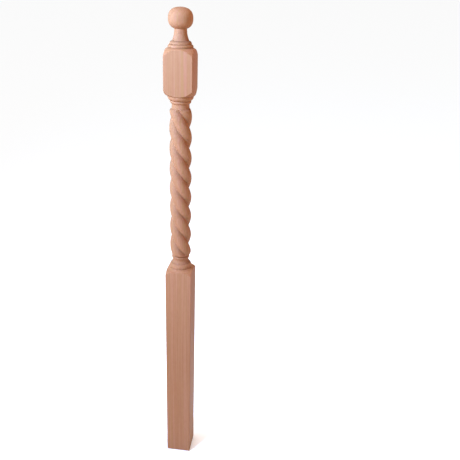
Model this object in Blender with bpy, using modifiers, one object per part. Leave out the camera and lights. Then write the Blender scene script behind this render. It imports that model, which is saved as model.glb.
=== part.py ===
"""Barley twist newel post, turned and carved from one square blank of wood.

Metres, +Z up. The origin is the middle of the foot, and the flat faces look along X and Y.
The blank is turned to one outline, three rope strands are carved in its middle, and a square
bar of the post's section then saws the flats, so that each shoulder meets its faces in an arc.
"""

import math

import bmesh
import bpy

INCH = 0.0254

# Lengths along the post. Each ends where a shoulder's arc is highest or lowest on the flat faces.
FOOT_LENGTH = 29.0 * INCH
TURNING_LENGTH = 21.75 * INCH
BLOCK_LENGTH = 5.0 * INCH
FINIAL_LENGTH = 4.25 * INCH

# Square section, and the rounding of its long edges
SECTION = 3.25 * INCH
ARRIS_RADIUS = 0.0010

# Ball and neck. The ball is a superellipse in outline, flatter above its widest place than below.
# A fullness of 2 is a plain ellipse, and more is fuller.
BALL_RADIUS = 1.36 * INCH
BALL_RISE = 1.17 * INCH
BALL_DROP = 1.12 * INCH
BALL_TOP_FULLNESS = 2.4
BALL_FOOT_FULLNESS = 2.4
NECK_RADIUS = 0.70 * INCH
NECK_FOOT_RADIUS = 0.95 * INCH
NECK_HOLLOW = 0.078 * INCH

# Rings under the neck, from the upper block up
CAP_BEAD_HEIGHT = 0.30 * INCH
CAP_BEAD_FOOT_RADIUS = 1.40 * INCH
CAP_BEAD_TOP_RADIUS = 1.24 * INCH
CAP_BEAD_BULGE = 0.050 * INCH
CAP_TORUS_HEIGHT = 0.35 * INCH
CAP_TORUS_FOOT_RADIUS = 1.23 * INCH
CAP_TORUS_TOP_RADIUS = 1.00 * INCH
CAP_TORUS_BULGE = 0.045 * INCH

# Rings under the upper block, from the block down
DROP_TORUS_HEIGHT = 0.53 * INCH
DROP_TORUS_TOP_RADIUS = 1.48 * INCH
DROP_TORUS_FOOT_RADIUS = 1.22 * INCH
DROP_TORUS_BULGE = 0.070 * INCH
DROP_BEAD_HEIGHT = 0.31 * INCH
DROP_BEAD_TOP_RADIUS = 1.17 * INCH
DROP_BEAD_FOOT_RADIUS = 1.09 * INCH
DROP_BEAD_BULGE = 0.050 * INCH
COLLAR_HEIGHT = 0.53 * INCH
COLLAR_RADIUS = 1.03 * INCH
COLLAR_HOLLOW = 0.020 * INCH

# Rings on the foot, from the foot up
FOOT_TORUS_HEIGHT = 0.60 * INCH
FOOT_TORUS_FOOT_RADIUS = 1.36 * INCH
FOOT_TORUS_TOP_RADIUS = 1.16 * INCH
FOOT_TORUS_BULGE = 0.050 * INCH
FOOT_COVE_HEIGHT = 0.56 * INCH
FOOT_COVE_FOOT_RADIUS = 1.14 * INCH
FOOT_COVE_TOP_RADIUS = 0.975 * INCH
FOOT_COVE_HOLLOW = 0.050 * INCH
FOOT_BEAD_HEIGHT = 0.38 * INCH
FOOT_BEAD_RADIUS = 1.02 * INCH
FOOT_BEAD_BULGE = 0.050 * INCH

# The V cut between two rings
QUIRK_WIDTH = 0.030 * INCH
QUIRK_DEPTH = 0.040 * INCH

# Shoulders of the square parts: how far the arc runs along the post from its tip to the corner,
# how round it is, and the turned seat between the arc's tip and the nearest ring
CAP_SHOULDER = 0.72 * INCH
CAP_SHOULDER_BULGE = 0.030 * INCH
CAP_SEAT = 0.16 * INCH
DROP_SHOULDER = 0.68 * INCH
DROP_SHOULDER_BULGE = 0.065 * INCH
DROP_SEAT = 0.030 * INCH
FOOT_SHOULDER = 0.48 * INCH
FOOT_SHOULDER_BULGE = 0.090 * INCH
FOOT_SEAT = 0.30 * INCH

# Rope twist: three round strands, wound as a left-hand screw
STRANDS = 3
STRAND_RADIUS = 0.80 * INCH
STRAND_OFFSET = 0.50 * INCH
STRAND_LEAD = 7.32 * INCH
STRAND_END = 0.42 * INCH
GROOVE_RUNOUT = 0.26 * INCH
CREASE_TURN = math.radians(22.0)

# Faces round the post and along its curves
SIDES = 36
TWIST_RINGS = 60
BALL_TOP_STEPS = 6
BALL_FOOT_STEPS = 4
NECK_STEPS = 4
RING_STEPS = 4
END_STEPS = 3
SHOULDER_STEPS = 3
ARRIS_STEPS = 2

# How far the turned outline stands off the corners, and each blank runs past the other
CORNER_ROOM = 0.004
END_ROOM = 0.010

# Heights that follow from the lengths
TURNING_FOOT = FOOT_LENGTH
BLOCK_FOOT = TURNING_FOOT + TURNING_LENGTH
BLOCK_TOP = BLOCK_FOOT + BLOCK_LENGTH
POST_TOP = BLOCK_TOP + FINIAL_LENGTH
TWIST_TOP = (
    BLOCK_FOOT - DROP_SEAT - DROP_TORUS_HEIGHT - QUIRK_WIDTH - DROP_BEAD_HEIGHT - QUIRK_WIDTH
    - COLLAR_HEIGHT
)
TWIST_FOOT = (
    TURNING_FOOT + FOOT_SEAT + FOOT_TORUS_HEIGHT + QUIRK_WIDTH + FOOT_COVE_HEIGHT + QUIRK_WIDTH
    + FOOT_BEAD_HEIGHT
)
FLAT_RADIUS = SECTION / 2
CORNER_RADIUS = SECTION / math.sqrt(2)
TWIST_RADIUS = STRAND_RADIUS + STRAND_OFFSET

WOOD_COLOUR = (0.50, 0.25, 0.14, 1.0)
WOOD_ROUGHNESS = 0.55


class Outline:
    """A turned outline: (radius, height) points down the post's outer side, from its top."""

    def __init__(self):
        self.points = []

    def line(self, radius, height):
        """Runs straight to a point."""
        self.points.append((radius, height))

    def arc(self, radius, height, bulge, steps):
        """Runs to a point on an arc that stands out by bulge at its middle, or in if it is negative."""
        start_radius, start_height = self.points[-1]
        chord_radius, chord_height = radius - start_radius, height - start_height
        chord = math.hypot(chord_radius, chord_height)
        half_angle = 2 * math.atan(2 * bulge / chord)
        bend = chord / 2 / math.sin(half_angle)
        for step in range(1, steps + 1):
            angle = half_angle * (2 * step / steps - 1)
            along = 0.5 + bend * math.sin(angle) / chord
            out = bend * (math.cos(angle) - math.cos(half_angle)) / chord
            self.line(
                start_radius + along * chord_radius - out * chord_height,
                start_height + along * chord_height + out * chord_radius,
            )

    def quirk(self, radius, height):
        """Cuts a V below the last point, and ends at the next ring's first point."""
        last_radius, last_height = self.points[-1]
        self.line(min(last_radius, radius) - QUIRK_DEPTH, (last_height + height) / 2)
        self.line(radius, height)


def turn_ball(outline):
    """The flattened ball, from its top to where it meets the neck."""
    middle = POST_TOP - BALL_RISE
    quarter = math.pi / 2
    power = 2 / BALL_TOP_FULLNESS
    for step in range(BALL_TOP_STEPS + 1):
        angle = quarter * step / BALL_TOP_STEPS
        outline.line(BALL_RADIUS * math.sin(angle) ** power, middle + BALL_RISE * math.cos(angle) ** power)
    power = 2 / BALL_FOOT_FULLNESS
    last = math.acos((NECK_RADIUS / BALL_RADIUS) ** (1 / power))
    for step in range(1, BALL_FOOT_STEPS + 1):
        angle = last * step / BALL_FOOT_STEPS
        outline.line(BALL_RADIUS * math.cos(angle) ** power, middle - BALL_DROP * math.sin(angle) ** power)


def turn_cap(outline):
    """The neck, and the torus and bead between it and the upper block."""
    bead_foot = BLOCK_TOP + CAP_SEAT
    bead_top = bead_foot + CAP_BEAD_HEIGHT
    torus_foot = bead_top + QUIRK_WIDTH
    torus_top = torus_foot + CAP_TORUS_HEIGHT
    outline.arc(NECK_FOOT_RADIUS, torus_top, -NECK_HOLLOW, NECK_STEPS)
    outline.line(CAP_TORUS_TOP_RADIUS, torus_top - QUIRK_WIDTH / 2)
    outline.arc(CAP_TORUS_FOOT_RADIUS, torus_foot, CAP_TORUS_BULGE, RING_STEPS)
    outline.quirk(CAP_BEAD_TOP_RADIUS, bead_top)
    outline.arc(CAP_BEAD_FOOT_RADIUS, bead_foot, CAP_BEAD_BULGE, RING_STEPS)
    outline.quirk(CAP_BEAD_FOOT_RADIUS, bead_foot - QUIRK_WIDTH)


def turn_shoulder_out(outline, tip, shoulder, bulge):
    """A shoulder that widens downwards, from its arc's tip on the flats to past the corners."""
    outline.line(FLAT_RADIUS, tip)
    outline.arc(CORNER_RADIUS, tip - shoulder, bulge, SHOULDER_STEPS)
    slope = shoulder / (CORNER_RADIUS - FLAT_RADIUS)
    outline.line(CORNER_RADIUS + CORNER_ROOM, tip - shoulder - slope * CORNER_ROOM)


def turn_shoulder_in(outline, tip, shoulder, bulge):
    """A shoulder that narrows downwards, from past the corners to its arc's tip on the flats."""
    slope = shoulder / (CORNER_RADIUS - FLAT_RADIUS)
    outline.line(CORNER_RADIUS + CORNER_ROOM, tip + shoulder + slope * CORNER_ROOM)
    outline.line(CORNER_RADIUS, tip + shoulder)
    outline.arc(FLAT_RADIUS, tip, bulge, SHOULDER_STEPS)


def turn_drop(outline):
    """The torus, bead and collar that hang under the upper block."""
    torus_top = BLOCK_FOOT - DROP_SEAT
    torus_foot = torus_top - DROP_TORUS_HEIGHT
    bead_top = torus_foot - QUIRK_WIDTH
    bead_foot = bead_top - DROP_BEAD_HEIGHT
    outline.line(DROP_TORUS_TOP_RADIUS, torus_top)
    outline.arc(DROP_TORUS_FOOT_RADIUS, torus_foot, DROP_TORUS_BULGE, RING_STEPS)
    outline.quirk(DROP_BEAD_TOP_RADIUS, bead_top)
    outline.arc(DROP_BEAD_FOOT_RADIUS, bead_foot, DROP_BEAD_BULGE, RING_STEPS)
    outline.line(COLLAR_RADIUS, bead_foot - QUIRK_WIDTH)
    outline.arc(COLLAR_RADIUS, TWIST_TOP, -COLLAR_HOLLOW, END_STEPS)


def turn_twist(outline):
    """The round blank of the twist: its ends are rolled in, and the carving has its rings between them."""
    rise = TWIST_RADIUS - COLLAR_RADIUS
    end_bulge = math.hypot(rise, STRAND_END) / 2 * math.tan(math.atan2(rise, STRAND_END) / 2)
    outline.arc(TWIST_RADIUS, TWIST_TOP - STRAND_END, end_bulge, END_STEPS)
    top, foot = TWIST_TOP - STRAND_END, TWIST_FOOT + STRAND_END
    for ring in range(1, TWIST_RINGS + 1):
        outline.line(TWIST_RADIUS, top + (foot - top) * ring / TWIST_RINGS)
    outline.arc(FOOT_BEAD_RADIUS, TWIST_FOOT, end_bulge, END_STEPS)


def turn_foot_rings(outline):
    """The bead, cove and torus between the twist and the foot."""
    torus_foot = TURNING_FOOT + FOOT_SEAT
    torus_top = torus_foot + FOOT_TORUS_HEIGHT
    cove_foot = torus_top + QUIRK_WIDTH
    cove_top = cove_foot + FOOT_COVE_HEIGHT
    outline.quirk(FOOT_BEAD_RADIUS, TWIST_FOOT - QUIRK_WIDTH)
    outline.arc(FOOT_BEAD_RADIUS, cove_top + QUIRK_WIDTH, FOOT_BEAD_BULGE, RING_STEPS)
    outline.line(FOOT_COVE_TOP_RADIUS, cove_top)
    outline.arc(FOOT_COVE_FOOT_RADIUS, cove_foot, -FOOT_COVE_HOLLOW, RING_STEPS)
    outline.quirk(FOOT_TORUS_TOP_RADIUS, torus_top)
    outline.arc(FOOT_TORUS_FOOT_RADIUS, torus_foot, FOOT_TORUS_BULGE, RING_STEPS)
    outline.quirk(FOOT_TORUS_FOOT_RADIUS, torus_foot - QUIRK_WIDTH)


def post_outline():
    """The whole post's turned outline, closed on the axis at both ends."""
    outline = Outline()
    turn_ball(outline)
    turn_cap(outline)
    turn_shoulder_out(outline, BLOCK_TOP, CAP_SHOULDER, CAP_SHOULDER_BULGE)
    turn_shoulder_in(outline, BLOCK_FOOT, DROP_SHOULDER, DROP_SHOULDER_BULGE)
    turn_drop(outline)
    turn_twist(outline)
    turn_foot_rings(outline)
    turn_shoulder_out(outline, TURNING_FOOT, FOOT_SHOULDER, FOOT_SHOULDER_BULGE)
    outline.line(CORNER_RADIUS + CORNER_ROOM, -END_ROOM)
    outline.line(0.0, -END_ROOM)
    return outline.points


def strand_radius(angle):
    """How far the strands reach from the axis, at an angle from a crease between two of them."""
    step = 2 * math.pi / STRANDS
    off_strand = angle % step - step / 2
    across = STRAND_OFFSET * math.sin(off_strand)
    return STRAND_OFFSET * math.cos(off_strand) + math.sqrt(STRAND_RADIUS**2 - across**2)


def runout(height):
    """How much of the carving's depth is left out: 1 at the twist's two ends, and 0 past the run-out."""
    from_end = min(TWIST_TOP - height, height - TWIST_FOOT)
    left = min(max(1 - from_end / GROOVE_RUNOUT, 0.0), 1.0)
    return left * left


def crease_angle(height):
    """Where the first crease stands at a height, seen from above. It falls back as it climbs: a left hand."""
    climbed = min(max(height, TWIST_FOOT), TWIST_TOP) - TWIST_TOP
    return CREASE_TURN - 2 * math.pi * climbed / STRAND_LEAD


def ring_turn(height):
    """How far a ring of the mesh is turned, to follow the creases and meet the square's corners."""
    pitch = 2 * math.pi / SIDES
    on_corner = math.pi / 4
    if height >= BLOCK_FOOT:
        crease, block, share = crease_angle(TWIST_TOP), BLOCK_FOOT, 1.0
    elif height > TWIST_TOP:
        crease, block = crease_angle(TWIST_TOP), BLOCK_FOOT
        share = (height - TWIST_TOP) / (block - TWIST_TOP)
    elif height >= TWIST_FOOT:
        return crease_angle(height)
    else:
        crease, block = crease_angle(TWIST_FOOT), TURNING_FOOT
        share = min((TWIST_FOOT - height) / (TWIST_FOOT - block), 1.0)
    nearest = on_corner + pitch * round((crease - on_corner) / pitch)
    return crease + share * (nearest - crease)


def carve_strands(mesh):
    """Turns each ring of the blank to follow the twist, and carves its middle down to the strands."""
    for vertex in mesh.vertices:
        x, y, height = vertex.co
        radius, angle = math.hypot(x, y), math.atan2(y, x)
        if TWIST_FOOT < height < TWIST_TOP:
            carved = strand_radius(angle)
            carved += (TWIST_RADIUS - carved) * runout(height)
            radius = min(radius, carved)
        turned = angle + ring_turn(height)
        vertex.co = (radius * math.cos(turned), radius * math.sin(turned), height)


def turned_blank(name, collection):
    """The turned and carved blank as a closed mesh object."""
    points = post_outline()
    profile = bpy.data.meshes.new("profile")
    edges = [(i, i + 1) for i in range(len(points) - 1)]
    profile.from_pydata([(radius, 0.0, height) for radius, height in points], edges, [])
    lathe = bpy.data.objects.new("lathe", profile)
    collection.objects.link(lathe)
    screw = lathe.modifiers.new("turn", "SCREW")
    screw.axis = "Z"
    screw.steps = screw.render_steps = SIDES
    screw.use_merge_vertices = True
    screw.merge_threshold = 0.00001
    bpy.context.view_layer.update()
    evaluated = lathe.evaluated_get(bpy.context.evaluated_depsgraph_get())
    mesh = bpy.data.meshes.new_from_object(evaluated)
    bpy.data.objects.remove(lathe)
    mesh.name = name
    work = bmesh.new()
    work.from_mesh(mesh)
    bmesh.ops.remove_doubles(work, verts=work.verts, dist=0.000001)
    work.to_mesh(mesh)
    work.free()
    carve_strands(mesh)
    post = bpy.data.objects.new(name, mesh)
    collection.objects.link(post)
    return post


def square_bar(collection):
    """The square bar that saws the flats, with its four long edges rounded. It is a cutter."""
    bar_height = POST_TOP + END_ROOM
    work = bmesh.new()
    bmesh.ops.create_cube(work, size=1.0)
    bmesh.ops.scale(work, vec=(SECTION, SECTION, bar_height), verts=work.verts)
    bmesh.ops.translate(work, vec=(0.0, 0.0, bar_height / 2), verts=work.verts)
    long_edges = [e for e in work.edges if abs(e.verts[0].co.z - e.verts[1].co.z) > bar_height / 2]
    bmesh.ops.bevel(
        work, geom=long_edges, offset=ARRIS_RADIUS, segments=ARRIS_STEPS, profile=0.5, affect="EDGES"
    )
    mesh = bpy.data.meshes.new("square_bar")
    work.to_mesh(mesh)
    work.free()
    bar = bpy.data.objects.new("square_bar", mesh)
    bar.hide_render = True
    bar.display_type = "WIRE"
    collection.objects.link(bar)
    return bar


def wood():
    """Bare, sanded wood of an even pinkish tan."""
    material = bpy.data.materials.new("bare_wood")
    material.use_nodes = True
    shader = material.node_tree.nodes["Principled BSDF"]
    shader.inputs["Base Color"].default_value = WOOD_COLOUR
    shader.inputs["Roughness"].default_value = WOOD_ROUGHNESS
    shader.inputs["Metallic"].default_value = 0.0
    return material


def new_collection(name):
    """A collection in the scene."""
    collection = bpy.data.collections.new(name)
    bpy.context.scene.collection.children.link(collection)
    return collection


def main():
    """Builds the newel post as one solid."""
    for old in list(bpy.data.objects):
        bpy.data.objects.remove(old)
    parts = new_collection("newel_post_parts")
    cutters = new_collection("cutters")
    post = turned_blank("newel_post", parts)
    saw = post.modifiers.new("saw_flats", "BOOLEAN")
    saw.operation = "INTERSECT"
    saw.object = square_bar(cutters)
    post.data.materials.clear()
    post.data.materials.append(wood())
    post.data.shade_smooth()
    post.data.set_sharp_from_angle(angle=math.radians(30))


main()
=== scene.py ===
"""The barley twist newel post: its fine shape and its looks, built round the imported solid.

Metres, +Z up, in the solid's own frame. The origin is the middle of the foot, and -Y is the face
that the photograph shows best. The post is one piece of wood: it is turned to an outline, its
square parts are brought out to the section, the rope strands are carved, and the edges are eased.
"""

import logging
import math
from dataclasses import dataclass, field
from enum import Enum

import bmesh
import bpy
from mathutils import Matrix, Vector


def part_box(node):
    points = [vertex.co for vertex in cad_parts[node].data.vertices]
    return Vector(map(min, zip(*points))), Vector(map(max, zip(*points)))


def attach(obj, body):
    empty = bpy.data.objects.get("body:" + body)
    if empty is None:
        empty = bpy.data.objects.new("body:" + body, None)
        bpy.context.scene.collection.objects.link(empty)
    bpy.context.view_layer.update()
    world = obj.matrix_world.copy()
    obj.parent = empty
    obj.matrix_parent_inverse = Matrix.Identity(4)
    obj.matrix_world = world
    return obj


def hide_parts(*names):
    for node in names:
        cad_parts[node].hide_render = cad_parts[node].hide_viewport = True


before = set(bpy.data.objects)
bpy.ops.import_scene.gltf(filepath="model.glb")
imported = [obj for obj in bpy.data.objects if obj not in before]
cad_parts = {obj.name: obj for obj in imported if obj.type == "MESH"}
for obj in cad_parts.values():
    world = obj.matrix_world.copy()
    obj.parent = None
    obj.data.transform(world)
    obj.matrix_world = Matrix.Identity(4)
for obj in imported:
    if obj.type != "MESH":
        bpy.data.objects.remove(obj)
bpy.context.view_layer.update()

INCH = 0.0254
POST_NODE = "newel_post"
# How far the dressed flats stay inside the solid's, so that the post never reaches past its box.
SKIN_ROOM = 1e-6
# Points nearer than this are one point, and a point this near to a flat lies on it.
TOUCH = 1e-6

Colour = tuple[float, float, float, float]
Triple = tuple[float, float, float]

log = logging.getLogger("newel_post")


class Facing(Enum):
    """Which way a shoulder looks along the post."""

    UP = 1
    DOWN = -1


class Winding(Enum):
    """The hand of a screw, as the sign of its turn when it climbs."""

    LEFT = -1
    RIGHT = 1


class Blending(Enum):
    """How one colour acts on another."""

    BETWEEN = "MIX"
    TINT = "MULTIPLY"


class TurnedOutline:
    """The post's section on one side, as (radius, height) points from its top down."""

    def __init__(self) -> None:
        """Starts with no points."""
        self.points: list[tuple[float, float]] = []

    def to(self, radius: float, height: float) -> None:
        """Adds one point."""
        self.points.append((radius, height))

    def straight_to(self, radius: float, height: float, steps: int) -> None:
        """Runs straight to a point, with rings on the way.

        Args:
            radius: The end's radius.
            height: The end's height.
            steps: How many stretches the run is cut into.
        """
        start_radius, start_height = self.points[-1]
        run, drop = radius - start_radius, height - start_height
        for step in range(1, steps + 1):
            share = step / steps
            self.to(start_radius + run * share, start_height + drop * share)

    def arc_to(self, radius: float, height: float, bulge: float, steps: int) -> None:
        """Runs to a point on an arc of a circle.

        Args:
            radius: The end's radius.
            height: The end's height.
            bulge: How far the arc's middle stands out of its chord, or in if it is negative.
            steps: How many stretches the arc is cut into.
        """
        start_radius, start_height = self.points[-1]
        run, drop = radius - start_radius, height - start_height
        chord = math.hypot(run, drop)
        half_angle = 2 * math.atan(2 * bulge / chord)
        bend = chord / 2 / math.sin(half_angle)
        for step in range(1, steps + 1):
            angle = half_angle * (2 * step / steps - 1)
            along = 0.5 + bend * math.sin(angle) / chord
            out = bend * (math.cos(angle) - math.cos(half_angle)) / chord
            self.to(start_radius + along * run - out * drop, start_height + along * drop + out * run)


@dataclass(frozen=True)
class Quirk:
    """The narrow V that parts two rings."""

    width: float = 0.030 * INCH
    depth: float = 0.065 * INCH

    def trace(self, outline: TurnedOutline, radius: float, height: float) -> None:
        """Cuts the V below the outline's last point and ends on the next ring.

        Args:
            outline: The outline to add to.
            radius: The next ring's first radius.
            height: The next ring's first height.
        """
        last_radius, last_height = outline.points[-1]
        outline.to(min(last_radius, radius) - self.depth, (last_height + height) / 2)
        outline.to(radius, height)


@dataclass(frozen=True)
class Ring:
    """One turned ring: a bead, a torus or, where its bulge is negative, a cove."""

    height: float
    top_radius: float
    foot_radius: float
    bulge: float
    steps: int = 12

    def trace(self, outline: TurnedOutline, foot: float) -> None:
        """Adds the ring to an outline that already stands on the ring's upper edge.

        Args:
            outline: The outline to add to.
            foot: The height of the ring's lower edge.
        """
        outline.arc_to(self.foot_radius, foot, self.bulge, self.steps)


@dataclass(frozen=True)
class Shoulder:
    """The turned end of a square part. Where it meets the flats it leaves an arc on each of them."""

    facing: Facing
    tip: float
    length: float
    bulge: float
    seat_radius: float
    seat_length: float
    flat_radius: float
    edge_room: float = 0.0020
    steps: int = 7

    @property
    def corner_radius(self) -> float:
        """How far the square's corners stand from the axis."""
        return self.flat_radius * math.sqrt(2)

    def height_at(self, radius: float) -> float:
        """The shoulder's height at a radius, from its seat out to the corners.

        Args:
            radius: How far from the axis.

        Returns:
            The height.
        """
        sign = self.facing.value
        if radius <= self.flat_radius:
            share = (self.flat_radius - radius) / (self.flat_radius - self.seat_radius)
            return self.tip + sign * self.seat_length * share
        run = self.corner_radius - self.flat_radius
        share = (radius - self.flat_radius) / run
        steepness = math.hypot(run, self.length) / run
        return self.tip - sign * (self.length * share - 4 * self.bulge * share * (1 - share) * steepness)

    def trace(self, outline: TurnedOutline) -> None:
        """Adds the shoulder as it is in the middle of a flat, between its seat and its tip.

        Args:
            outline: The outline to add to.
        """
        run = self.flat_radius - self.edge_room - self.seat_radius
        radii = [self.seat_radius + run * step / self.steps for step in range(self.steps + 1)]
        radii.append(self.flat_radius)
        if self.facing is Facing.DOWN:
            radii.reverse()
        for radius in radii:
            outline.to(radius, self.height_at(radius))

    def square_out(self, radius: float, square_radius: float) -> tuple[float, float]:
        """Moves a point of the mid-flat shoulder out to where the square's edge runs.

        Args:
            radius: The point's radius in the middle of a flat.
            square_radius: The square's radius in the point's direction.

        Returns:
            The point's new radius and height.
        """
        inner = self.flat_radius - self.edge_room
        if radius > inner:
            moved = radius + square_radius - self.flat_radius
        else:
            stretch = (square_radius - self.edge_room - self.seat_radius) / (inner - self.seat_radius)
            moved = self.seat_radius + (radius - self.seat_radius) * stretch
        return moved, self.height_at(moved)


@dataclass(frozen=True)
class SquarePart:
    """A length of the post left square, with a shoulder on its upper end and perhaps on its lower."""

    flat_radius: float
    upper: Shoulder
    lower: Shoulder | None
    foot: float

    @property
    def low_tip(self) -> float:
        """The lowest height of the part's flats, in the middle of each."""
        return self.lower.tip if self.lower else self.foot

    def square_radius(self, angle: float) -> float:
        """How far the square reaches from the axis in a direction."""
        return self.flat_radius / max(abs(math.cos(angle)), abs(math.sin(angle)))

    def holds(self, height: float) -> bool:
        """Whether a height lies on this part, shoulders and their seats included."""
        low = self.lower.tip - self.lower.seat_length if self.lower else self.foot
        return low <= height <= self.upper.tip + self.upper.seat_length

    def trace(self, outline: TurnedOutline) -> None:
        """Adds the part as it is in the middle of a flat.

        Args:
            outline: The outline to add to.
        """
        self.upper.trace(outline)
        if self.lower:
            self.lower.trace(outline)
        else:
            outline.to(self.flat_radius, self.foot)

    def place(self, radius: float, angle: float, height: float) -> tuple[float, float]:
        """Brings a point of the turned blank out to the square.

        Args:
            radius: The point's radius on the blank.
            angle: The point's direction.
            height: The point's height on the blank.

        Returns:
            The point's new radius and height.
        """
        square = self.square_radius(angle)
        if height > self.upper.tip:
            return self.upper.square_out(radius, square)
        if height < self.low_tip:
            return self.lower.square_out(radius, square)
        if radius < self.flat_radius / 2:
            # The middle of the sawn end stays where it is.
            return radius, height
        top = self.upper.height_at(square)
        low = self.lower.height_at(square) if self.lower else self.foot
        share = (height - self.low_tip) / (self.upper.tip - self.low_tip)
        return square, low + (top - low) * share


@dataclass(frozen=True)
class RopeTwist:
    """Three round strands, wound together round the post's axis."""

    top: float
    foot: float
    end_radius: float
    foot_end_radius: float
    winding: Winding = Winding.LEFT
    strands: int = 3
    strand_radius: float = 0.80 * INCH
    strand_offset: float = 0.50 * INCH
    lead: float = 7.32 * INCH
    end_length: float = 0.42 * INCH
    runout_length: float = 0.26 * INCH
    blend_depth: float = 0.16 * INCH
    blend_reach: float = 1.6
    crease_at_top: float = math.radians(22.0)
    rings: int = 250
    end_rings: int = 16

    @property
    def radius(self) -> float:
        """How far the strands' crests stand from the axis."""
        return self.strand_radius + self.strand_offset

    def trace(self, outline: TurnedOutline) -> None:
        """Adds the round blank of the twist, with its ends rolled in.

        Args:
            outline: The outline to add to.
        """
        rise = self.radius - self.end_radius
        bulge = math.hypot(rise, self.end_length) / 2 * math.tan(math.atan2(rise, self.end_length) / 2)
        outline.arc_to(self.radius, self.top - self.end_length, bulge, self.end_rings)
        outline.straight_to(self.radius, self.foot + self.end_length, self.rings)
        outline.arc_to(self.foot_end_radius, self.foot, bulge, self.end_rings)

    def crease_angle(self, height: float) -> float:
        """Where the first crease stands at a height, seen from above."""
        climbed = min(max(height, self.foot), self.top) - self.top
        return self.crease_at_top + self.winding.value * 2 * math.pi * climbed / self.lead

    def reach(self, angle: float) -> float:
        """How far the strands reach from the axis.

        Args:
            angle: The direction's angle from a crease.

        Returns:
            The radius of the strands' surface there.
        """
        step = 2 * math.pi / self.strands
        off_strand = angle % step - step / 2
        across = self.strand_offset * math.sin(off_strand)
        return self.strand_offset * math.cos(off_strand) + math.sqrt(self.strand_radius**2 - across**2)

    def left_out(self, height: float) -> float:
        """How much of the carving's depth is left out.

        Args:
            height: A height on the twist.

        Returns:
            1 at the twist's ends, and 0 past the run-out.
        """
        from_end = min(self.top - height, height - self.foot)
        left = min(max(1 - from_end / self.runout_length, 0.0), 1.0)
        return left * left

    def near_end(self, height: float) -> float:
        """How near a height is to an end of the twist.

        Args:
            height: A height on the twist.

        Returns:
            1 at the end, and 0 where the soft seams stop.
        """
        from_end = min(self.top - height, height - self.foot)
        near = min(max(1 - from_end / (self.blend_reach * self.end_length), 0.0), 1.0)
        return near * near * (3 - 2 * near)

    def carve(self, radius: float, angle: float, height: float) -> float:
        """Carves a point of the blank down to the strands, with soft seams near the twist's ends.

        Args:
            radius: The point's radius on the blank.
            angle: The point's angle from a crease.
            height: The point's height.

        Returns:
            The point's new radius.
        """
        if not self.foot < height < self.top:
            return radius
        strands = self.reach(angle)
        depth = self.blend_depth * self.near_end(height)
        overlap = max(depth - abs(radius - strands), 0.0)
        eased = overlap * overlap / (4 * depth) if depth > 0 else 0.0
        carved = min(radius, strands) - eased
        return carved + (radius - carved) * self.left_out(height)


@dataclass(frozen=True)
class Finial:
    """The flattened ball, its waisted neck, and the two rings that seat them on the upper block."""

    top: float
    seat: float
    ball_radius: float = 1.36 * INCH
    ball_rise: float = 1.17 * INCH
    ball_drop: float = 1.12 * INCH
    ball_top_fullness: float = 2.4
    ball_foot_fullness: float = 2.4
    neck_radius: float = 0.70 * INCH
    neck_foot_radius: float = 0.95 * INCH
    neck_hollow: float = 0.078 * INCH
    torus: Ring = Ring(0.35 * INCH, 1.00 * INCH, 1.23 * INCH, 0.062 * INCH)
    bead: Ring = Ring(0.30 * INCH, 1.24 * INCH, 1.40 * INCH, 0.068 * INCH)
    quirk: Quirk = Quirk()
    ball_top_steps: int = 22
    ball_foot_steps: int = 14
    neck_steps: int = 14

    def trace_ball(self, outline: TurnedOutline) -> None:
        """Adds the ball: one superellipse above its widest place, and one below it, down to the neck.

        Args:
            outline: The outline to add to.
        """
        middle = self.top - self.ball_rise
        power = 2 / self.ball_top_fullness
        for step in range(self.ball_top_steps + 1):
            angle = math.pi / 2 * step / self.ball_top_steps
            radius = self.ball_radius * math.sin(angle) ** power
            outline.to(radius, middle + self.ball_rise * max(math.cos(angle), 0.0) ** power)
        power = 2 / self.ball_foot_fullness
        last = math.acos((self.neck_radius / self.ball_radius) ** (1 / power))
        for step in range(1, self.ball_foot_steps + 1):
            angle = last * step / self.ball_foot_steps
            radius = self.ball_radius * math.cos(angle) ** power
            outline.to(radius, middle - self.ball_drop * math.sin(angle) ** power)

    def trace(self, outline: TurnedOutline) -> None:
        """Adds the ball, the neck and the rings, down to the upper block's seat.

        Args:
            outline: The outline to add to.
        """
        bead_foot = self.seat + self.quirk.width
        bead_top = bead_foot + self.bead.height
        torus_foot = bead_top + self.quirk.width
        torus_top = torus_foot + self.torus.height
        self.trace_ball(outline)
        outline.arc_to(self.neck_foot_radius, torus_top, -self.neck_hollow, self.neck_steps)
        outline.to(self.torus.top_radius, torus_top - self.quirk.width / 2)
        self.torus.trace(outline, torus_foot)
        self.quirk.trace(outline, self.bead.top_radius, bead_top)
        self.bead.trace(outline, bead_foot)
        outline.to(self.bead.foot_radius - self.quirk.depth, bead_foot - self.quirk.width / 2)


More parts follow.
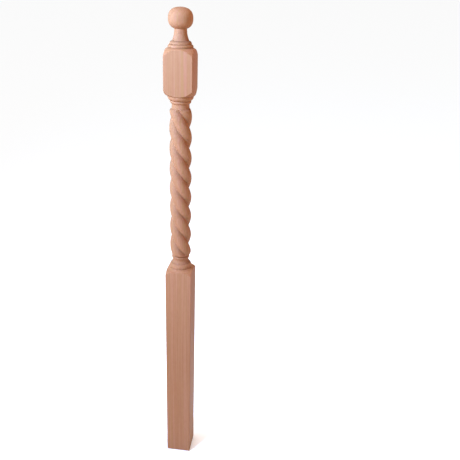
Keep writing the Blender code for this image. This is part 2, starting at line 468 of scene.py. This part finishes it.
@dataclass(frozen=True)
class DropRings:
    """The torus and bead that hang under the upper block, and the collar that the twist springs from."""

    top: float
    torus: Ring = Ring(0.53 * INCH, 1.48 * INCH, 1.22 * INCH, 0.090 * INCH)
    bead: Ring = Ring(0.31 * INCH, 1.17 * INCH, 1.09 * INCH, 0.072 * INCH)
    quirk: Quirk = Quirk()
    collar_height: float = 0.53 * INCH
    collar_radius: float = 1.03 * INCH
    collar_hollow: float = 0.020 * INCH
    collar_steps: int = 10

    @property
    def foot(self) -> float:
        """Where the collar ends and the twist begins."""
        torus_foot = self.top - self.torus.height
        return torus_foot - self.bead.height - 2 * self.quirk.width - self.collar_height

    def trace(self, outline: TurnedOutline) -> None:
        """Adds the rings and the collar.

        Args:
            outline: The outline to add to.
        """
        torus_foot = self.top - self.torus.height
        bead_top = torus_foot - self.quirk.width
        bead_foot = bead_top - self.bead.height
        self.torus.trace(outline, torus_foot)
        self.quirk.trace(outline, self.bead.top_radius, bead_top)
        self.bead.trace(outline, bead_foot)
        outline.to(self.collar_radius, bead_foot - self.quirk.width)
        outline.arc_to(self.collar_radius, self.foot, -self.collar_hollow, self.collar_steps)


@dataclass(frozen=True)
class FootRings:
    """The bead, cove and torus between the twist and the square foot."""

    seat: float
    torus: Ring = Ring(0.60 * INCH, 1.16 * INCH, 1.36 * INCH, 0.078 * INCH)
    cove: Ring = Ring(0.56 * INCH, 0.975 * INCH, 1.14 * INCH, -0.068 * INCH)
    bead: Ring = Ring(0.38 * INCH, 1.02 * INCH, 1.02 * INCH, 0.074 * INCH)
    quirk: Quirk = Quirk()

    @property
    def torus_foot(self) -> float:
        """The height of the torus's lower edge."""
        return self.seat + self.quirk.width

    @property
    def cove_foot(self) -> float:
        """The height of the cove's lower edge."""
        return self.torus_foot + self.torus.height + self.quirk.width

    @property
    def bead_foot(self) -> float:
        """The height of the bead's lower edge."""
        return self.cove_foot + self.cove.height + self.quirk.width

    @property
    def top(self) -> float:
        """Where the twist ends on the bead."""
        return self.bead_foot + self.bead.height

    def trace(self, outline: TurnedOutline) -> None:
        """Adds the rings, down to the foot's seat.

        Args:
            outline: The outline to add to.
        """
        self.quirk.trace(outline, self.bead.top_radius, self.top - self.quirk.width)
        self.bead.trace(outline, self.bead_foot)
        outline.to(self.cove.top_radius, self.bead_foot - self.quirk.width)
        self.cove.trace(outline, self.cove_foot)
        self.quirk.trace(outline, self.torus.top_radius, self.cove_foot - self.quirk.width)
        self.torus.trace(outline, self.torus_foot)
        outline.to(self.torus.foot_radius - self.quirk.depth, self.torus_foot - self.quirk.width / 2)


class Value:
    """A socket that takes part in Python expressions, which add Math nodes."""

    def __init__(self, board: "NodeBoard", socket: bpy.types.NodeSocket) -> None:
        """Wraps a socket of a board."""
        self.board = board
        self.socket = socket

    def math(
        self, operation: str, *others: "Value | float", first: "Value | float | None" = None
    ) -> "Value":
        """Adds one Math node.

        Args:
            operation: The node's operation.
            others: What follows this value among the node's inputs.
            first: What comes before this value, in an expression's reflected form.

        Returns:
            The node's result.
        """
        values = [self, *others] if first is None else [first, self]
        node = self.board.add("ShaderNodeMath", {"operation": operation}, dict(enumerate(values)))
        return Value(self.board, node.outputs[0])

    def __add__(self, other: "Value | float") -> "Value":
        """This value plus another."""
        return self.math("ADD", other)

    __radd__ = __add__

    def __mul__(self, other: "Value | float") -> "Value":
        """This value times another."""
        return self.math("MULTIPLY", other)

    __rmul__ = __mul__

    def __sub__(self, other: "Value | float") -> "Value":
        """This value less another."""
        return self.math("SUBTRACT", other)

    def __rsub__(self, other: float) -> "Value":
        """A number less this value."""
        return self.math("SUBTRACT", first=other)

    def __truediv__(self, other: "Value | float") -> "Value":
        """This value divided by another."""
        return self.math("DIVIDE", other)

    def __pow__(self, other: float) -> "Value":
        """This value to a power."""
        return self.math("POWER", other)

    def fraction(self) -> "Value":
        """What is left of this value above its whole part."""
        return self.math("FRACT")

    def size(self) -> "Value":
        """This value without its sign."""
        return self.math("ABSOLUTE")

    def between(self, low: float, high: float) -> "Value":
        """A smooth step from 0 at low to 1 at high.

        Args:
            low: Where the step starts.
            high: Where it ends.

        Returns:
            The step's value.
        """
        settings = {"interpolation_type": "SMOOTHSTEP"}
        inputs = {"Value": self, "From Min": low, "From Max": high}
        return self.board.value(self.board.add("ShaderNodeMapRange", settings, inputs))


class NodeBoard:
    """A material's node tree, and the one way in which nodes are put on it."""

    def __init__(self, name: str) -> None:
        """Starts a material with a Principled shader.

        Args:
            name: The material's name.
        """
        self.material = bpy.data.materials.new(name)
        self.material.use_nodes = True
        self.tree = self.material.node_tree
        self.shader = self.tree.nodes["Principled BSDF"]

    def fill(self, node: bpy.types.Node, name: str | int, value: object) -> None:
        """Gives one of a node's inputs its value or link.

        Args:
            node: The node.
            name: The input's name, or its number.
            value: A Value or socket to link, or a plain value.
        """
        socket = node.inputs[name] if isinstance(name, int) else next(
            s for s in node.inputs if s.name == name and s.enabled
        )
        if isinstance(value, Value):
            value = value.socket
        if isinstance(value, bpy.types.NodeSocket):
            self.tree.links.new(value, socket)
        else:
            socket.default_value = value

    def add(self, kind: str, settings: dict[str, object], inputs: dict) -> bpy.types.Node:
        """Adds one node.

        Args:
            kind: The node's type.
            settings: Its settings, which are made before its inputs.
            inputs: Its inputs' values or links, by name or number.

        Returns:
            The node.
        """
        node = self.tree.nodes.new(kind)
        for name, value in settings.items():
            setattr(node, name, value)
        for name, value in inputs.items():
            self.fill(node, name, value)
        return node

    def value(self, node: bpy.types.Node, name: str | int = 0) -> Value:
        """One of a node's outputs as a Value."""
        return Value(self, node.outputs[name])

    def stretched(self, place: bpy.types.NodeSocket, scale: Triple) -> bpy.types.NodeSocket:
        """A place scaled differently along each axis."""
        node = self.add("ShaderNodeVectorMath", {"operation": "MULTIPLY"}, {0: place, 1: scale})
        return node.outputs[0]

    def noise(self, place: bpy.types.NodeSocket, detail: float, roughness: float) -> Value:
        """Cloudy noise at a scaled place, from 0 to 1."""
        inputs = {"Vector": place, "Scale": 1.0, "Detail": detail, "Roughness": roughness}
        return self.value(self.add("ShaderNodeTexNoise", {}, inputs), "Fac")

    def blend(
        self, factor: Value, low: object, high: object, way: Blending = Blending.BETWEEN
    ) -> bpy.types.NodeSocket:
        """A colour made of two others.

        Args:
            factor: 0 for the first colour alone, and 1 for all of the second's effect.
            low: The first colour or its socket.
            high: The second colour or its socket.
            way: How the second colour acts on the first.

        Returns:
            The made colour's socket.
        """
        settings = {"data_type": "RGBA", "blend_type": way.value}
        node = self.add("ShaderNodeMix", settings, {"Factor": factor, "A": low, "B": high})
        return next(s for s in node.outputs if s.enabled)

    def tinted(self, factor: Value, colour: object, tint: Colour) -> bpy.types.NodeSocket:
        """A colour multiplied by a tint, as far as a factor says."""
        return self.blend(factor, colour, tint, Blending.TINT)


@dataclass(frozen=True)
class Grain:
    """A layer of stretched noise in the wood: how fine it is each way, and how strongly it shows.

    Noise up to the low mark doesn't show, and noise past the high mark shows by the whole amount.
    """

    stretch: Triple
    detail: float
    roughness: float = 0.5
    low: float = 0.0
    high: float = 1.0
    amount: float = 1.0

    def noise(self, board: NodeBoard, place: bpy.types.NodeSocket) -> Value:
        """The layer's own noise, from 0 to 1."""
        return board.noise(board.stretched(place, self.stretch), self.detail, self.roughness)

    def share(self, noise: Value) -> Value:
        """How strongly the layer shows: 0 up to its low mark, and its amount past its high mark."""
        return noise.between(self.low, self.high) * self.amount


@dataclass(frozen=True)
class BareWood:
    """Bare, sanded, close-grained wood: growth rings, coloured years, fibres, flecks and end grain.

    The pattern is one solid block of wood, so the rings run on from the flats over the turned parts.
    """

    pale: Colour = (0.338, 0.160, 0.075, 1.0)
    rosy: Colour = (0.347, 0.148, 0.077, 1.0)
    olive: Colour = (0.326, 0.162, 0.065, 1.0)
    pink: Colour = (0.406, 0.190, 0.116, 1.0)
    late_tint: Colour = (0.80, 0.70, 0.64, 1.0)
    fleck_tint: Colour = (0.62, 0.48, 0.38, 1.0)
    end_tint: Colour = (0.80, 0.72, 0.66, 1.0)
    heart: Triple = (0.110, -0.055, 0.0)
    heart_lean: Triple = (0.010, 0.014, 0.0)
    ring_width: float = 0.0031
    late_start: float = 0.35
    late_full: float = 0.93
    late_stop: float = 0.94
    late_amount: float = 0.28
    # The rings wander by these two layers' amounts, in metres.
    sway: Grain = Grain((9.0, 9.0, 1.6), 2.0, amount=0.020)
    ripple: Grain = Grain((70.0, 70.0, 5.0), 2.0, amount=0.0022)
    year_tint: Grain = Grain((105.0, 0.0, 0.0), 2.0, 0.55, 0.36, 0.64)
    cloud: Grain = Grain((26.0, 26.0, 1.3), 3.0, 0.5, 0.30, 0.72)
    blush: Grain = Grain((300.0, 300.0, 1.9), 2.0, 0.5, 0.46, 0.70, 0.62)
    streak: Grain = Grain((240.0, 240.0, 3.2), 3.0, 0.6, 0.50, 0.78, 0.48)
    mottle: Grain = Grain((210.0, 210.0, 52.0), 3.0, 0.7, 0.38, 0.70, 0.22)
    fibre: Grain = Grain((2300.0, 2300.0, 34.0), 2.0, 0.6, 0.55, 0.85, 0.30)
    fleck_stretch: Triple = (1250.0, 1250.0, 150.0)
    fleck_core: float = 0.10
    fleck_edge: float = 0.26
    fleck_amount: float = 0.30
    end_amount: float = 0.85
    roughness: float = 0.50
    fibre_roughness: float = 0.10
    late_smoothness: float = 0.04
    end_roughness: float = 0.10
    specular: float = 0.06
    relief: float = 0.00012
    relief_strength: float = 0.5
    fibre_relief: float = 0.45
    late_relief: float = 0.25
    fleck_relief: float = 0.5
    streak_relief: float = 0.25

    def rings(self, board: NodeBoard, place: bpy.types.NodeSocket) -> tuple[Value, Value]:
        """The growth rings.

        Args:
            board: The board to build on.
            place: The piece's own coordinates.

        Returns:
            The late wood of each year, and how the years' tint runs.
        """
        inputs = {"Vector": place, "Location": self.heart, "Rotation": self.heart_lean}
        log_place = board.add("ShaderNodeMapping", {}, inputs).outputs[0]
        sway = self.sway.noise(board, log_place)
        ripple = self.ripple.noise(board, log_place)
        parts = board.add("ShaderNodeSeparateXYZ", {}, {"Vector": log_place})
        across, deep = board.value(parts, 0), board.value(parts, 1)
        from_heart = (across * across + deep * deep) ** 0.5
        from_heart = from_heart + (sway - 0.5) * self.sway.amount + (ripple - 0.5) * self.ripple.amount
        through_year = (from_heart / self.ring_width).fraction()
        rise = through_year.between(self.late_start, self.late_full)
        late = rise * (1 - through_year.between(self.late_stop, 1.0))
        years = board.add("ShaderNodeCombineXYZ", {}, {"X": from_heart}).outputs[0]
        return late, self.year_tint.share(self.year_tint.noise(board, years))

    def flecks(self, board: NodeBoard, place: bpy.types.NodeSocket) -> Value:
        """The short flecks that lie along the grain, 1 in their cores and 0 between them.

        Args:
            board: The board to build on.
            place: The piece's own coordinates.

        Returns:
            How much of a fleck there is.
        """
        inputs = {"Vector": board.stretched(place, self.fleck_stretch), "Scale": 1.0}
        cells = board.add("ShaderNodeTexVoronoi", {"feature": "F1"}, inputs)
        return 1 - board.value(cells, "Distance").between(self.fleck_core, self.fleck_edge)

    def build(self) -> bpy.types.Material:
        """Makes the material.

        Returns:
            The material.
        """
        board = NodeBoard("bare_wood")
        texture = board.add("ShaderNodeTexCoord", {}, {})
        place = texture.outputs["Object"]
        late, tint = self.rings(board, place)
        streak = self.streak.noise(board, place)
        fibre = self.fibre.noise(board, place)
        fleck = self.flecks(board, place)
        normal = board.add("ShaderNodeSeparateXYZ", {}, {"Vector": texture.outputs["Normal"]})
        end = board.value(normal, 2).size() ** 2.0

        colour = board.blend(tint, self.rosy, self.olive)
        colour = board.blend(self.cloud.share(self.cloud.noise(board, place)), colour, self.pale)
        colour = board.blend(self.blush.share(self.blush.noise(board, place)), colour, self.pink)
        colour = board.tinted(late * self.late_amount, colour, self.late_tint)
        colour = board.tinted(self.streak.share(streak), colour, self.late_tint)
        colour = board.tinted(self.mottle.share(self.mottle.noise(board, place)), colour, self.late_tint)
        colour = board.tinted(self.fibre.share(fibre), colour, self.fleck_tint)
        colour = board.tinted(fleck * self.fleck_amount, colour, self.fleck_tint)
        colour = board.tinted(end * self.end_amount, colour, self.end_tint)
        roughness = self.roughness + fibre * self.fibre_roughness - late * self.late_smoothness
        roughness = roughness + end * self.end_roughness
        height = fibre * self.fibre_relief + late * self.late_relief
        height = height - fleck * self.fleck_relief + streak * self.streak_relief
        inputs = {"Strength": self.relief_strength, "Distance": self.relief, "Height": height}
        board.fill(board.shader, "Base Color", colour)
        board.fill(board.shader, "Roughness", roughness)
        board.fill(board.shader, "Normal", board.add("ShaderNodeBump", {}, inputs).outputs[0])
        board.fill(board.shader, "Specular IOR Level", self.specular)
        return board.material


@dataclass(frozen=True)
class PaleFloor:
    """A plain, matt, pale floor."""

    colour: Colour = (0.92, 0.92, 0.92, 1.0)
    roughness: float = 0.9
    specular: float = 0.1

    def build(self) -> bpy.types.Material:
        """Makes the material.

        Returns:
            The material.
        """
        board = NodeBoard("pale_floor")
        board.fill(board.shader, "Base Color", self.colour)
        board.fill(board.shader, "Roughness", self.roughness)
        board.fill(board.shader, "Specular IOR Level", self.specular)
        return board.material


@dataclass
class NewelPost:
    """The whole post as one carved piece of wood."""

    top: float
    section: float
    foot_length: float = 29.0 * INCH
    turning_length: float = 21.75 * INCH
    block_length: float = 5.0 * INCH
    foot_seat: float = 0.27 * INCH
    foot_corner: float = 0.48 * INCH
    foot_bulge: float = 0.090 * INCH
    block_low_seat: float = 0.030 * INCH
    block_low_corner: float = 0.68 * INCH
    block_low_bulge: float = 0.065 * INCH
    block_top_seat: float = 0.13 * INCH
    block_top_corner: float = 0.72 * INCH
    block_top_bulge: float = 0.030 * INCH
    settle_rate: float = 1.2
    sides: int = 144
    easing: float = 0.0008
    easing_steps: int = 3
    sharp_angle: float = math.radians(32.0)
    finish: BareWood = field(default_factory=BareWood)

    def __post_init__(self) -> None:
        """Works out the post's members from its lengths, from the foot up."""
        flat = self.section / 2
        block_foot = self.foot_length + self.turning_length
        block_top = block_foot + self.block_length
        self.foot_rings = FootRings(seat=self.foot_length + self.foot_seat)
        self.drop_rings = DropRings(top=block_foot - self.block_low_seat)
        self.finial = Finial(top=self.top, seat=block_top + self.block_top_seat)
        self.twist = RopeTwist(
            top=self.drop_rings.foot,
            foot=self.foot_rings.top,
            end_radius=self.drop_rings.collar_radius,
            foot_end_radius=self.foot_rings.bead.top_radius,
        )
        block_upper = Shoulder(
            facing=Facing.UP,
            tip=block_top,
            length=self.block_top_corner,
            bulge=self.block_top_bulge,
            seat_radius=self.finial.bead.foot_radius,
            seat_length=self.block_top_seat,
            flat_radius=flat,
        )
        block_lower = Shoulder(
            facing=Facing.DOWN,
            tip=block_foot,
            length=self.block_low_corner,
            bulge=self.block_low_bulge,
            seat_radius=self.drop_rings.torus.top_radius,
            seat_length=self.block_low_seat,
            flat_radius=flat,
        )
        foot_upper = Shoulder(
            facing=Facing.UP,
            tip=self.foot_length,
            length=self.foot_corner,
            bulge=self.foot_bulge,
            seat_radius=self.foot_rings.torus.foot_radius,
            seat_length=self.foot_seat,
            flat_radius=flat,
        )
        self.block = SquarePart(flat_radius=flat, upper=block_upper, lower=block_lower, foot=block_foot)
        self.foot = SquarePart(flat_radius=flat, upper=foot_upper, lower=None, foot=0.0)

    def outline(self) -> TurnedOutline:
        """The post's section in the middle of a flat, from the ball down to the foot's middle.

        Returns:
            The whole outline.
        """
        outline = TurnedOutline()
        self.finial.trace(outline)
        self.block.trace(outline)
        self.drop_rings.trace(outline)
        self.twist.trace(outline)
        self.foot_rings.trace(outline)
        self.foot.trace(outline)
        outline.to(0.0, self.foot.foot)
        return outline

    def blank(self) -> bmesh.types.BMesh:
        """Spins the outline round the axis into a closed blank.

        Returns:
            The blank.
        """
        blank = bmesh.new()
        chain = [blank.verts.new((radius, 0.0, height)) for radius, height in self.outline().points]
        edges = [blank.edges.new(pair) for pair in zip(chain, chain[1:])]
        bmesh.ops.spin(
            blank,
            geom=[*chain, *edges],
            cent=(0.0, 0.0, 0.0),
            axis=(0.0, 0.0, 1.0),
            angle=2 * math.pi,
            steps=self.sides,
            use_merge=True,
        )
        bmesh.ops.remove_doubles(blank, verts=blank.verts, dist=TOUCH)
        bmesh.ops.recalc_face_normals(blank, faces=blank.faces)
        return blank

    def ring_turn(self, height: float) -> float:
        """How far a ring of the mesh is turned, to follow the creases and meet the square's corners.

        Args:
            height: The ring's height.

        Returns:
            The turn.
        """
        twist = self.twist
        if twist.foot <= height <= twist.top:
            return twist.crease_angle(height)
        if height > twist.top:
            crease = twist.crease_angle(twist.top)
            share = (height - twist.top) / (self.block.foot - twist.top)
        else:
            crease = twist.crease_angle(twist.foot)
            share = (twist.foot - height) / (twist.foot - self.foot.upper.tip)
        pitch = 2 * math.pi / self.sides
        corner = math.pi / 4
        nearest = corner + pitch * round((crease - corner) / pitch)
        return crease + min(share * self.settle_rate, 1.0) * (nearest - crease)

    def shape(self, blank: bmesh.types.BMesh) -> None:
        """Turns each ring into place, brings the square parts out, and carves the strands.

        Args:
            blank: The spun blank.
        """
        for vertex in blank.verts:
            x, y, height = vertex.co
            radius, angle = math.hypot(x, y), math.atan2(y, x)
            turned = angle + self.ring_turn(height)
            radius = self.twist.carve(radius, angle, height)
            for part in (self.block, self.foot):
                if part.holds(height):
                    radius, height = part.place(radius, turned, height)
            vertex.co = (radius * math.cos(turned), radius * math.sin(turned), height)
        blank.normal_update()

    def flat_of(self, face: bmesh.types.BMFace) -> tuple[int, int] | None:
        """Which of the four sawn flats a face lies on, or none.

        Args:
            face: The face.

        Returns:
            The flat's axis and side, or None.
        """
        flat = self.section / 2
        for axis in (0, 1):
            for side in (-1, 1):
                if all(abs(v.co[axis] * side - flat) < TOUCH for v in face.verts):
                    return axis, side
        return None

    def ease_edges(self, blank: bmesh.types.BMesh) -> None:
        """Rounds the square parts' long edges, the arcs of their shoulders and the foot's rim.

        Args:
            blank: The shaped blank.
        """
        flats = {face: self.flat_of(face) for face in blank.faces}
        edges = [e for e in blank.edges if len({flats[face] for face in e.link_faces}) > 1]
        bmesh.ops.bevel(
            blank,
            geom=edges,
            offset=self.easing,
            offset_type="OFFSET",
            segments=self.easing_steps,
            profile=0.5,
            affect="EDGES",
            clamp_overlap=True,
            material=-1,
        )

    def build(self) -> bpy.types.Object:
        """Makes the post's object, with its flats shaded flat and the rest smooth.

        Returns:
            The post.
        """
        blank = self.blank()
        self.shape(blank)
        self.ease_edges(blank)
        for face in blank.faces:
            face.smooth = self.flat_of(face) is None
        mesh = bpy.data.meshes.new("carved_post")
        blank.to_mesh(mesh)
        blank.free()
        mesh.set_sharp_from_angle(angle=self.sharp_angle)
        post = bpy.data.objects.new("carved_post", mesh)
        bpy.context.scene.collection.objects.link(post)
        return post

    def dress(self, post: bpy.types.Object) -> None:
        """Gives the post its wood, hangs it on the root body, and hides the imported part that it
        replaces.

        Args:
            post: The post's object.
        """
        post.data.materials.append(self.finish.build())
        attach(post, "root")
        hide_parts(POST_NODE)


@dataclass(frozen=True)
class SoftLight:
    """A rectangular studio light, placed by its direction and distance from the height it aims at."""

    name: str
    azimuth: float
    elevation: float
    distance: float
    width: float
    height: float
    power: float
    colour: Triple
    aim_height: float
    spread: float = math.pi

    def build(self) -> bpy.types.Object:
        """Adds the light to the scene.

        Returns:
            The light.
        """
        lamp = bpy.data.lights.new(self.name, "AREA")
        lamp.shape = "RECTANGLE"
        lamp.size, lamp.size_y = self.width, self.height
        lamp.energy = self.power
        lamp.color = self.colour
        lamp.spread = self.spread
        light = bpy.data.objects.new(self.name, lamp)
        level = math.cos(self.elevation)
        across, deep = math.sin(self.azimuth) * level, -math.cos(self.azimuth) * level
        toward = Vector((across, deep, math.sin(self.elevation)))
        light.location = Vector((0.0, 0.0, self.aim_height)) + toward * self.distance
        light.rotation_euler = (-toward).to_track_quat("-Z", "Y").to_euler()
        bpy.context.scene.collection.objects.link(light)
        return light


@dataclass(frozen=True)
class PhotoCamera:
    """A camera that sees the post as the photograph does: from a little right of its front and above.

    The angles are how far below the level the post's two ends are seen. The pixels are the
    photograph's: the column of the post's axis, and the rows of its top and of its foot's middle.
    """

    post_height: float
    azimuth: float = math.radians(12.0)
    top_below_level: float = math.radians(2.0)
    foot_below_level: float = math.radians(44.0)
    image_size: float = 460.0
    axis_column: float = 180.65
    top_row: float = 6.6
    foot_row: float = 441.5
    sensor_width: float = 36.0
    sight: float = 1500.0

    def build(self) -> bpy.types.Object:
        """Adds the camera and makes it the scene's.

        Returns:
            The camera.
        """
        middle = self.image_size / 2
        above, below = middle - self.top_row, self.foot_row - middle
        spread = self.foot_below_level - self.top_below_level
        drop = math.tan(self.foot_below_level) - math.tan(self.top_below_level)
        distance = self.post_height / drop
        height = self.post_height + distance * math.tan(self.top_below_level)
        lean = math.asin((above - below) / (above + below) * math.sin(spread)) / 2
        pitch = (self.top_below_level + self.foot_below_level) / 2 + lean
        focal = (above + below) / (
            math.tan(pitch - self.top_below_level) + math.tan(self.foot_below_level - pitch)
        )
        turn = math.asin((middle - self.axis_column) / focal)
        lens = bpy.data.cameras.new("photo_camera")
        lens.sensor_width = self.sensor_width
        lens.lens = focal * math.cos(turn) / self.image_size * self.sensor_width
        lens.clip_end = self.sight
        camera = bpy.data.objects.new("photo_camera", lens)
        across, deep = math.sin(self.azimuth) * distance, -math.cos(self.azimuth) * distance
        camera.matrix_world = (
            Matrix.Translation((across, deep, height))
            @ Matrix.Rotation(self.azimuth, 4, "Z")
            @ Matrix.Rotation(math.pi / 2 - pitch, 4, "X")
            @ Matrix.Rotation(-turn, 4, "Y")
        )
        bpy.context.scene.collection.objects.link(camera)
        bpy.context.scene.camera = camera
        return camera


@dataclass
class Studio:
    """A plain pale floor, soft light mostly from the upper left, and the photograph's camera."""

    post_height: float
    floor_half: float = 600.0
    floor_gap: float = 0.0002
    world_colour: Colour = (0.17, 0.17, 0.17, 1.0)
    overhead_strength: float = 2.84
    overhead_angle: float = math.radians(14.0)
    soft_lights: tuple[SoftLight, ...] = (
        SoftLight(
            name="key",
            azimuth=math.radians(-38.0),
            elevation=math.radians(27.0),
            distance=1.6,
            width=0.5,
            height=0.6,
            power=41.0,
            colour=(0.37, 0.57, 1.0),
            aim_height=1.33,
            spread=math.radians(110.0),
        ),
        SoftLight(
            name="left",
            azimuth=math.radians(-80.0),
            elevation=math.radians(12.0),
            distance=1.3,
            width=0.5,
            height=0.5,
            power=20.0,
            colour=(0.40, 0.70, 1.0),
            aim_height=1.40,
        ),
        SoftLight(
            name="left_low",
            azimuth=math.radians(-50.0),
            elevation=math.radians(8.0),
            distance=1.6,
            width=0.5,
            height=1.0,
            power=10.0,
            colour=(1.0, 0.66, 0.54),
            aim_height=0.70,
        ),
        SoftLight(
            name="right_warm",
            azimuth=math.radians(88.0),
            elevation=math.radians(14.0),
            distance=1.4,
            width=0.5,
            height=0.5,
            power=8.6,
            colour=(1.0, 0.33, 0.06),
            aim_height=1.35,
        ),
        SoftLight(
            name="back",
            azimuth=math.radians(195.0),
            elevation=math.radians(20.0),
            distance=2.4,
            width=1.0,
            height=1.4,
            power=14.0,
            colour=(1.0, 0.93, 0.88),
            aim_height=1.10,
        ),
    )

    def floor(self) -> bpy.types.Object:
        """Lays the floor.

        Returns:
            The floor.
        """
        work = bmesh.new()
        bmesh.ops.create_grid(work, x_segments=1, y_segments=1, size=self.floor_half)
        bmesh.ops.translate(work, vec=(0.0, 0.0, -self.floor_gap), verts=work.verts)
        mesh = bpy.data.meshes.new("floor")
        work.to_mesh(mesh)
        work.free()
        floor = bpy.data.objects.new("floor", mesh)
        floor.data.materials.append(PaleFloor().build())
        bpy.context.scene.collection.objects.link(floor)
        return floor

    def world(self) -> None:
        """Fills the room with an even, dim light."""
        world = bpy.data.worlds.new("room")
        world.use_nodes = True
        world.node_tree.nodes["Background"].inputs["Color"].default_value = self.world_colour
        bpy.context.scene.world = world

    def lights(self) -> None:
        """Hangs the broad light straight overhead, and the soft lights round the post."""
        overhead = bpy.data.lights.new("overhead", "SUN")
        overhead.energy = self.overhead_strength
        overhead.angle = self.overhead_angle
        bpy.context.scene.collection.objects.link(bpy.data.objects.new("overhead", overhead))
        for light in self.soft_lights:
            light.build()

    def build(self) -> None:
        """Sets up the whole studio."""
        bpy.context.scene.view_settings.view_transform = "Standard"
        self.floor()
        self.world()
        self.lights()
        PhotoCamera(self.post_height).build()


def main() -> None:
    """Builds the post and the studio round it."""
    logging.basicConfig(level=logging.INFO, format="%(name)s: %(message)s")
    low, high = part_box(POST_NODE)
    newel = NewelPost(top=high.z, section=high.x - low.x - 2 * SKIN_ROOM)
    post = newel.build()
    newel.dress(post)
    log.info("carved post: %d vertices, %d faces", len(post.data.vertices), len(post.data.polygons))
    Studio(post_height=high.z).build()
    log.info("studio: floor, lights and camera")


if __name__ == "__main__":
    main()
